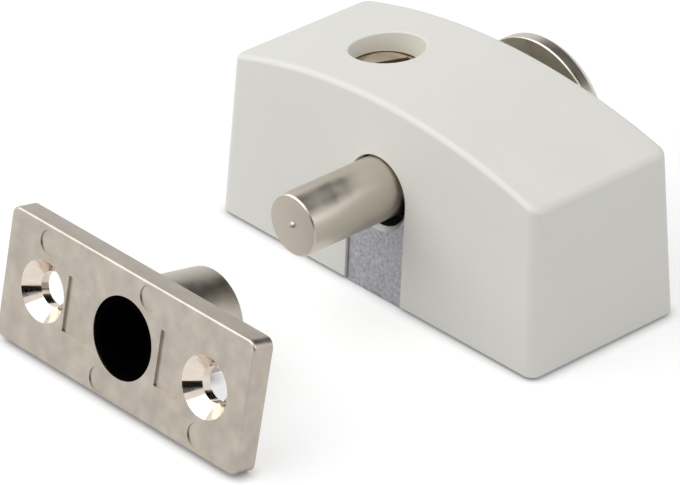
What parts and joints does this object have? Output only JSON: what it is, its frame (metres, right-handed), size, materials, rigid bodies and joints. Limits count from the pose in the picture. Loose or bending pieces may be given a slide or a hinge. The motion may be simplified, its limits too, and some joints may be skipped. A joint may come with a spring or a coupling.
{
  "type": "surface-mounted window lock",
  "caption": "Surface-mounted window lock with an arched white cover, a round push bolt with a pull knob, a key cylinder that blocks the bolt, and a separate strike plate with a sleeve.",
  "frame": {"origin": "centre of the lock body's mounting face", "axes": "+Z away from the mounting face, X along the lock's length, -Y the way the bolt is thrown, towards the strike plate"},
  "size_m": [0.07, 0.0882, 0.0329],
  "materials": {
    "white_plastic": "fine matte",
    "satin_nickel": "satin nickel plate",
    "cast_zinc": "raw zinc casting, slightly grainy",
    "spring_steel": "plain",
    "brass": "stamped",
    "black_plastic": "matte"
  },
  "bodies": {
    "housing": {"cover": "white_plastic", "lock_body": "cast_zinc", "front_bush": "black_plastic", "rear_bush": "black_plastic", "stop_pin": "spring_steel", "detent_spring": "spring_steel", "detent_screw": "spring_steel", "cylinder_barrel": "satin_nickel", "barrel_screw": "spring_steel", "strike_plate": "satin_nickel", "strike_liner": "black_plastic"},
    "bolt_and_knob": {"bolt": "satin_nickel", "knob": "satin_nickel", "knob_screw": "spring_steel"},
    "plug": {"key_plug": "satin_nickel", "plug_clip": "spring_steel", "wafer_1": "brass", "wafer_2": "brass", "wafer_3": "brass", "wafer_4": "brass", "wafer_spring_1": "spring_steel", "wafer_spring_2": "spring_steel", "wafer_spring_3": "spring_steel", "wafer_spring_4": "spring_steel"},
    "slide": {"locking_slide": "spring_steel"},
    "detent": {"detent_ball": "spring_steel"}
  },
  "joints": [
    {"name": "bolt_slide", "type": "slide", "parent": "housing", "child": "bolt_and_knob", "axis": [0, 1, 0], "range_m": [0, 0.017]},
    {"name": "plug_turn", "type": "hinge", "parent": "housing", "child": "plug", "pos_m": [-0.0134, 0, 0.028], "axis": [0, 0, 1], "range_deg": [0, 90]},
    {"name": "slide_shift", "type": "slide", "parent": "housing", "child": "slide", "axis": [1, 0, 0], "range_m": [0, 0.00311]},
    {"name": "detent_lift", "type": "slide", "parent": "housing", "child": "detent", "axis": [1, 0, 0], "range_m": [0, 0.0003], "stiffness_N_per_m": 1500, "deforming": ["detent_spring"]}
  ],
  "couplings": [
    {"joint": "slide_shift", "follows": "plug_turn", "m_per_rad": 0.0019735}
  ]
}
